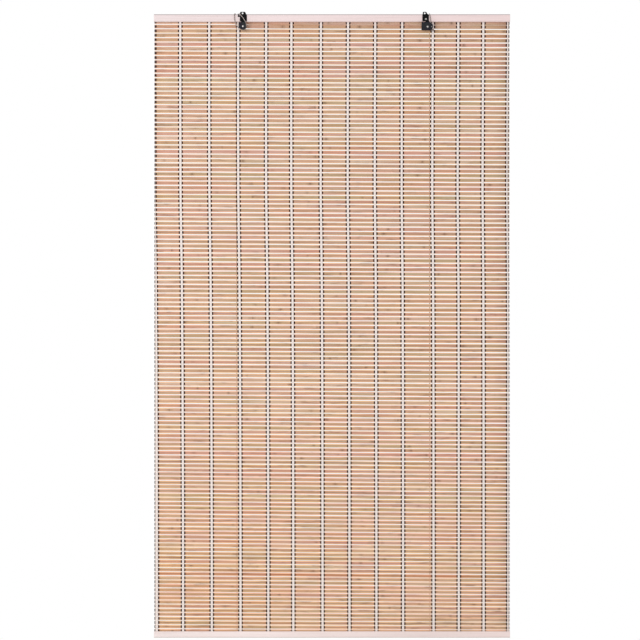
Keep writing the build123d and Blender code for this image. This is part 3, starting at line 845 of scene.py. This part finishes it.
def make_fillers():
    """Discs in the nail holes of the bottom rail's face."""
    form = Form()
    face = foot_low.y - FILLER_PROUD
    angles = [2 * math.pi * side / FILLER_SIDES for side in range(FILLER_SIDES)]
    for x, z in nail_places():
        form.loft([
            [
                (x + FILLER_RADIUS * math.cos(angle), y, z + FILLER_RADIUS * math.sin(angle))
                for angle in angles
            ]
            for y in (face, face + FILLER_DEPTH)
        ])
    made = form.piece("nail_hole_fillers", foot_paint)
    made.data.polygons.foreach_set("use_smooth", [False] * len(made.data.polygons))
    return made


fillers = make_fillers()
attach(fillers, BODY)

NODE_FINISHES = {
    "head_rail_front": head_paint,
    "head_rail_back": head_paint,
    "bottom_rail_front": foot_paint,
    "bottom_rail_back": foot_paint,
    "head_rail_nails": nail_steel,
    "bottom_rail_nails": nail_steel,
    "pulley_hanger": enamel,
    "lock_hanger": enamel,
    "pulley_hanger_screw": enamel,
    "lock_hanger_screw": bright,
    "pulley_case": pressed,
    "lock_case": pressed,
    "pulley_axle": bright,
    "lock_axle": bright,
    "pulley_wheel": nylon,
    "lock_wheel": nylon,
    "lock_roller": bright,
    "cord_eye_left": nail_steel,
    "cord_eye_right": nail_steel,
}


def dress(node, material):
    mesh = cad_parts[node].data
    for slot in range(len(mesh.materials)):
        mesh.materials[slot] = material
    if not mesh.materials:
        mesh.materials.append(material)


for node, material in NODE_FINISHES.items():
    dress(node, material)


# Floor, light and camera

FLOOR_DROP = 0.26           # floor below the blind's foot, out of the camera's view
FLOOR_SIDE = 1.6
FLOOR_NEAR = -2.6
FLOOR_FAR = 0.5


def make_floor():
    z = cad_box[0][2] - FLOOR_DROP
    corners = [
        (-FLOOR_SIDE, FLOOR_NEAR, z),
        (FLOOR_SIDE, FLOOR_NEAR, z),
        (FLOOR_SIDE, FLOOR_FAR, z),
        (-FLOOR_SIDE, FLOOR_FAR, z),
    ]
    mesh = bpy.data.meshes.new("floor")
    mesh.from_pydata(corners, [], [(0, 1, 2, 3)])
    made = bpy.data.objects.new("floor", mesh)
    bpy.context.scene.collection.objects.link(made)
    finish = Finish("pale_floor", linear(236, 234, 231), 0.7)
    finish.roughness(finish.ramp(finish.noise(finish.place, 6.0), 0.3, 0.7, 0.62, 0.78))
    mesh.materials.append(finish.material)


LIGHT_AIM = (0.0, 0.0, -0.8)
# Place, size across and power in watts
LIGHTS = {
    "key": ((-2.0, -3.2, 0.0), 1.6, 58.0),
    "fill": ((1.8, -3.6, -0.4), 2.0, 7.0),
    "back": ((1.4, 3.0, 0.1), 2.0, 26.0),
}


def make_light(name, place, size, power):
    data = bpy.data.lights.new(name, "AREA")
    data.size = size
    data.energy = power
    made = bpy.data.objects.new(name, data)
    made.location = place
    aim = Vector(LIGHT_AIM) - Vector(place)
    made.rotation_euler = aim.to_track_quat("-Z", "Y").to_euler()
    bpy.context.scene.collection.objects.link(made)


AMBIENT = 0.6               # the surroundings' strength as light
SKY_SEEN = 1.0              # and as the camera sees them


def make_world():
    """White all round: full white behind the blind, softer as light."""
    world = bpy.data.worlds.new("studio")
    world.use_nodes = True
    nodes, links = world.node_tree.nodes, world.node_tree.links
    background = nodes["Background"]
    background.inputs["Color"].default_value = (1.0, 1.0, 1.0, 1.0)
    ray = nodes.new("ShaderNodeLightPath")
    strength = nodes.new("ShaderNodeMapRange")
    strength.inputs["To Min"].default_value = AMBIENT
    strength.inputs["To Max"].default_value = SKY_SEEN
    links.new(ray.outputs["Is Camera Ray"], strength.inputs["Value"])
    links.new(strength.outputs["Result"], background.inputs["Strength"])
    bpy.context.scene.world = world


LENS = 120.0                # millimetres, as the sensor's width
SENSOR = 36.0
VIEW_WIDTH = 1.6190         # metres across the frame at the mat
VIEW_X = -0.0345
VIEW_Z = -0.7746


def make_camera():
    data = bpy.data.cameras.new("camera")
    data.lens = LENS
    data.sensor_width = SENSOR
    made = bpy.data.objects.new("camera", data)
    made.location = (VIEW_X, FRONT_Y - VIEW_WIDTH * LENS / SENSOR, VIEW_Z)
    made.rotation_euler = (math.pi / 2, 0.0, 0.0)
    bpy.context.scene.collection.objects.link(made)
    bpy.context.scene.camera = made


make_floor()
make_world()
for light, (place, size, power) in LIGHTS.items():
    make_light(light, place, size, power)
make_camera()
bpy.context.scene.view_settings.view_transform = "Standard"
